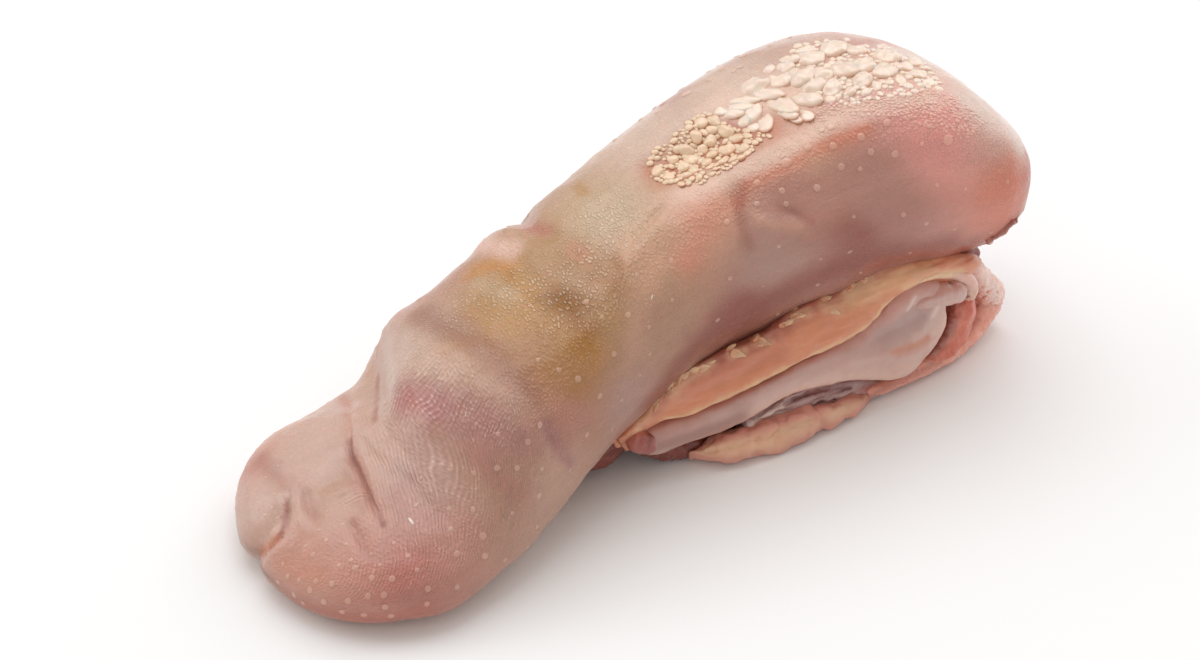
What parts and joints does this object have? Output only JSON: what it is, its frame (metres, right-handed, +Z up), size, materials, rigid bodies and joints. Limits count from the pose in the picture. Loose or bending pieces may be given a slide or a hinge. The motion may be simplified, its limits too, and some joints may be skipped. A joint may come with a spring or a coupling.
{
  "type": "raw lamb tongue",
  "caption": "Raw lamb tongue lying on its underside, with folded tip, warty papillae along the crest and the trimmings of its cut root below.",
  "frame": {"origin": "centre of the bounding box's bottom face, on the surface that the tongue lies on", "axes": "+X from the tip to the cut root, +Z up, +Y from the near side with the shown trimmings to the far side"},
  "size_m": [0.134, 0.0504, 0.0524],
  "materials": {
    "tongue_skin": "moist satin, pale pink with finely grained skin",
    "papillae": "moist satin, ivory",
    "trimmings": "wet gloss, peach fat and membrane over muscle",
    "muscle": "wet gloss, dark red cut muscle"
  },
  "bodies": {
    "root": {"lamb_tongue": "tongue_skin"}
  },
  "joints": []
}
